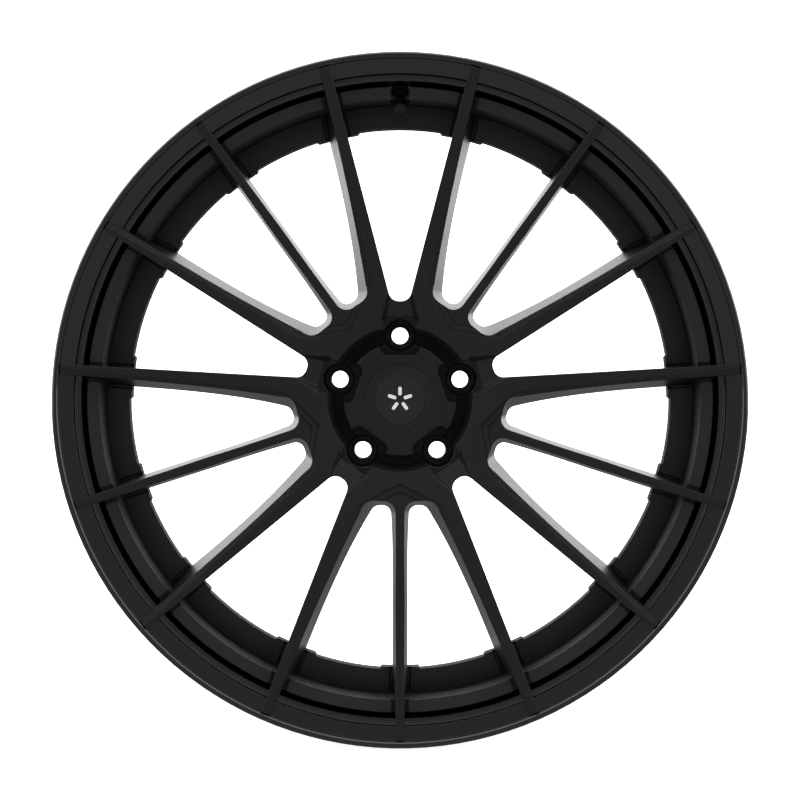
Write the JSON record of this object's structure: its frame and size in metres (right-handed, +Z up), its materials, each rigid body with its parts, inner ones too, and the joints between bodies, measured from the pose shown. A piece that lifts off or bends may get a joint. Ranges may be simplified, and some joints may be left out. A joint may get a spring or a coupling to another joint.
{
  "type": "wheel rim",
  "caption": "Dished multi-spoke forged car wheel rim with a gloss stepped lip, a satin spoked centre bolted in from behind, snap-in hub cap and screw-capped valve.",
  "frame": {"origin": "middle of the rim's width on the wheel's axis", "axes": "+Y along the axle towards the car, -Y is the outboard face, +Z up with the valve at the top"},
  "size_m": [0.5934, 0.2642, 0.5933],
  "materials": {
    "centre_black": "matte",
    "lip_black": "gloss",
    "seat_steel": "satin",
    "bolt_steel": "satin",
    "washer_steel": "satin",
    "insert_steel": "satin",
    "cap_black": "satin",
    "badge_black": "gloss",
    "mark_white": "satin",
    "spring_steel": "polished",
    "seal_rubber": "matte",
    "valve_black": "satin",
    "valve_rubber": "matte",
    "core_brass": "satin",
    "core_rubber": "matte",
    "core_spring": "polished",
    "valve_cap_black": "satin"
  },
  "bodies": {
    "wheel": {"wheel_centre": "centre_black", "rim_barrel": "lip_black", "lug_seat_inserts": "seat_steel", "assembly_bolts": "bolt_steel", "assembly_washers": "washer_steel", "thread_inserts": "insert_steel", "valve_stem": "valve_black", "valve_grommet": "valve_rubber", "valve_washer": "valve_black", "valve_nut": "valve_black", "valve_core": "core_brass", "valve_core_seal": "core_rubber"},
    "centre_cap": {"cap_shell": "cap_black", "cap_badge": "badge_black", "cap_mark": "mark_white", "cap_spring_ring": "spring_steel", "cap_seal_ring": "seal_rubber"},
    "valve_pin": {"valve_core_pin": "core_brass", "valve_core_spring": "core_spring"},
    "valve_cap_carrier": {"valve_cap_seal": "core_rubber"},
    "valve_cap": {"valve_cap": "valve_cap_black"}
  },
  "joints": [
    {"name": "centre_cap_pull", "type": "slide", "parent": "wheel", "child": "centre_cap", "axis": [0, -1, 0], "range_m": [0, 0.09]},
    {"name": "valve_pin_press", "type": "slide", "parent": "wheel", "child": "valve_pin", "axis": [0, 0.7071, 0.7071], "range_m": [0, 0.001], "stiffness_N_per_m": 800, "springref_m": -0.002},
    {"name": "valve_cap_lift", "type": "slide", "parent": "wheel", "child": "valve_cap_carrier", "axis": [0, -0.7071, -0.7071], "range_m": [0, 0.0087]},
    {"name": "valve_cap_turn", "type": "hinge", "parent": "valve_cap_carrier", "child": "valve_cap", "pos_m": [0, -0.10255, 0.2542], "axis": [0, -0.7071, -0.7071], "range_deg": [0, 3960]}
  ],
  "couplings": [
    {"joint": "valve_cap_turn", "follows": "valve_cap_lift", "rad_per_m": 7913.3}
  ]
}
